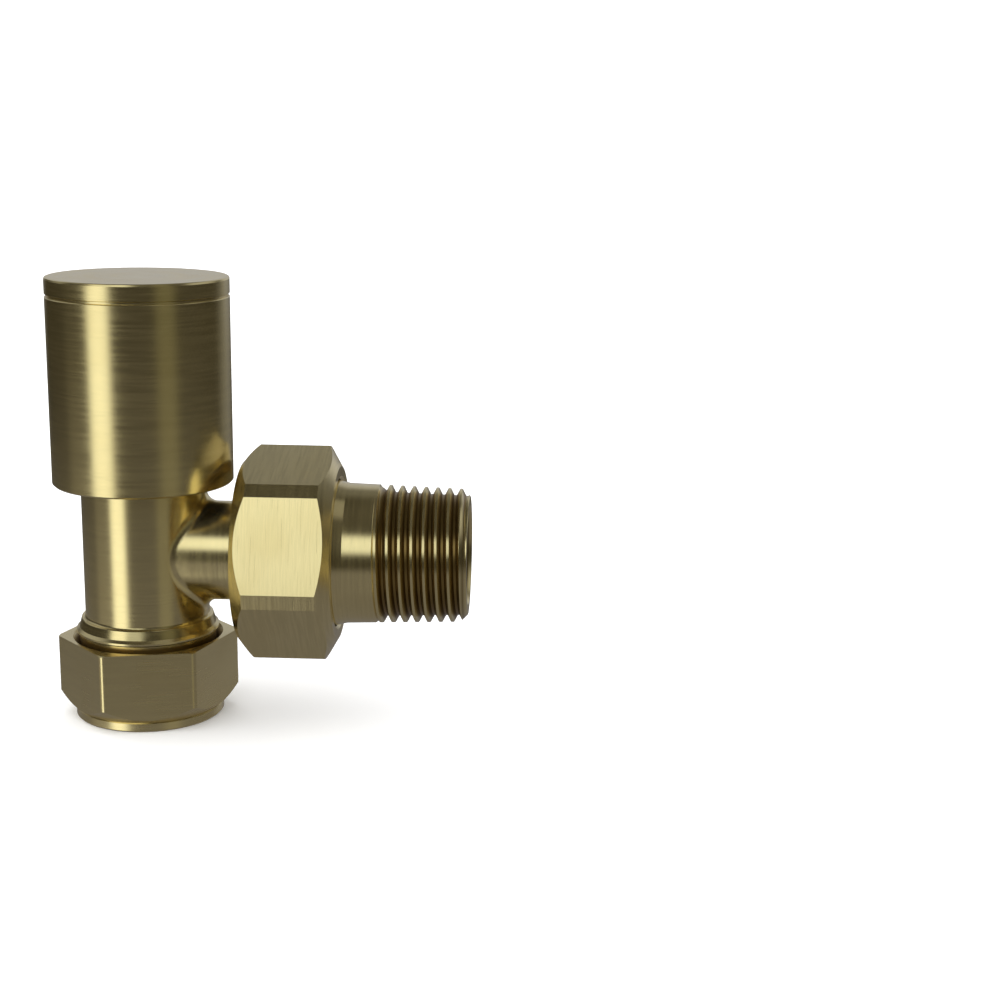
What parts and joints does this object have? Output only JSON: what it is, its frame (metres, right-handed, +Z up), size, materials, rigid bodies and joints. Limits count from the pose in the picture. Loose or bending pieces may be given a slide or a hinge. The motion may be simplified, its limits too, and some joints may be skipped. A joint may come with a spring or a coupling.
{
  "type": "lockshield radiator valve",
  "caption": "Angled lockshield radiator valve with a round pull-off cover, a compression nut for the pipe and a union nut and threaded tail for the radiator.",
  "frame": {"origin": "centre of the pipe entry, on the lowest face of the compression nut", "axes": "+Z up the spindle axis to the cover, +X out along the union tail to the radiator, +Y completes a right-handed frame"},
  "size_m": [0.0637, 0.0326, 0.068],
  "materials": {
    "brushed_brass": "satin, fine circumferential brushing, aged brass tint",
    "raw_brass": "machined, unplated",
    "steel": "plain turned",
    "rubber": "matt moulded",
    "nylon": "moulded, matt",
    "fibre": "pressed fibre",
    "black_nylon": "moulded, matt"
  },
  "bodies": {
    "body": {"valve_body": "brushed_brass", "headwork_bonnet": "raw_brass", "bonnet_seal_ring": "fibre", "spindle_thrust_washer": "nylon"},
    "cover": {"cover_sleeve": "brushed_brass", "cover_top_disc": "brushed_brass", "cover_carrier": "black_nylon", "cover_disc_nut": "steel", "cover_grip_ring": "rubber"},
    "spindle_set": {"spindle": "raw_brass", "spindle_o_ring_lower": "rubber", "spindle_o_ring_upper": "rubber", "spindle_circlip": "steel"},
    "plug_set": {"valve_plug": "raw_brass", "seat_washer": "rubber", "seat_washer_screw": "steel"},
    "olive": {"compression_olive": "raw_brass"},
    "pipe_nut": {"compression_nut": "brushed_brass"},
    "tail": {"union_tail": "brushed_brass", "tail_o_ring": "rubber"},
    "coupling_nut": {"union_nut": "brushed_brass"}
  },
  "joints": [
    {"name": "cover_pull_off", "type": "slide", "parent": "body", "child": "cover", "axis": [0, 0, 1], "range_m": [0, 0.03]},
    {"name": "spindle_turn", "type": "hinge", "parent": "body", "child": "spindle_set", "pos_m": [0, 0, 0.045], "axis": [0, 0, 1], "range_deg": [0, 1445]},
    {"name": "plug_lift", "type": "slide", "parent": "body", "child": "plug_set", "axis": [0, 0, 1], "range_m": [0, 0.004]},
    {"name": "olive_slide", "type": "slide", "parent": "body", "child": "olive", "axis": [0, 0, -1], "range_m": [0, 0.00725]},
    {"name": "pipe_nut_turn", "type": "hinge", "parent": "olive", "child": "pipe_nut", "pos_m": [0, 0, 0.006], "axis": [0, 0, -1], "range_deg": [0, 1445]},
    {"name": "tail_slide", "type": "slide", "parent": "body", "child": "tail", "axis": [1, 0, 0], "range_m": [0, 0.00816]},
    {"name": "union_nut_turn", "type": "hinge", "parent": "tail", "child": "coupling_nut", "pos_m": [0.0225, 0, 0.026], "axis": [1, 0, 0], "range_deg": [0, 1625]}
  ],
  "couplings": [
    {"joint": "spindle_turn", "follows": "plug_lift", "rad_per_m": 6283.2},
    {"joint": "pipe_nut_turn", "follows": "olive_slide", "rad_per_m": 3463.7},
    {"joint": "union_nut_turn", "follows": "tail_slide", "rad_per_m": 3463.7}
  ]
}
